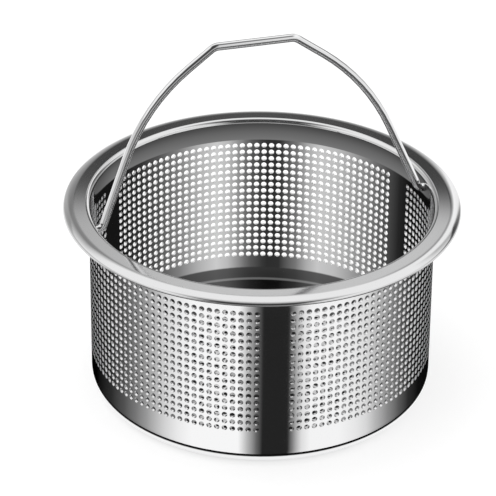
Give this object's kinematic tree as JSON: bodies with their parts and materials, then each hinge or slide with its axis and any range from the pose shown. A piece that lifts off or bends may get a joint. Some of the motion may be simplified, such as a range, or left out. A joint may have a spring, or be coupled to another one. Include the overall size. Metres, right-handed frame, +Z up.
{
  "type": "sink strainer basket",
  "caption": "Round sink strainer basket of polished stainless sheet with a finely perforated wall, a rolled flange rim and a swinging wire bail handle.",
  "frame": {"origin": "centre of the basket's underside, on the plane it stands on", "axes": "+Z up along the basket's axis, X along the bail's pivots, and the bail leans back towards +Y"},
  "size_m": [0.077, 0.077, 0.0716],
  "materials": {
    "basket_steel": "polished",
    "wire_steel": "polished"
  },
  "bodies": {
    "basket": {"basket": "basket_steel"},
    "bail": {"bail": "wire_steel"}
  },
  "joints": [
    {"name": "bail_swing", "type": "hinge", "parent": "basket", "child": "bail", "pos_m": [0, 0, 0.0381], "axis": [1, 0, 0], "range_deg": [-74, 95]}
  ]
}
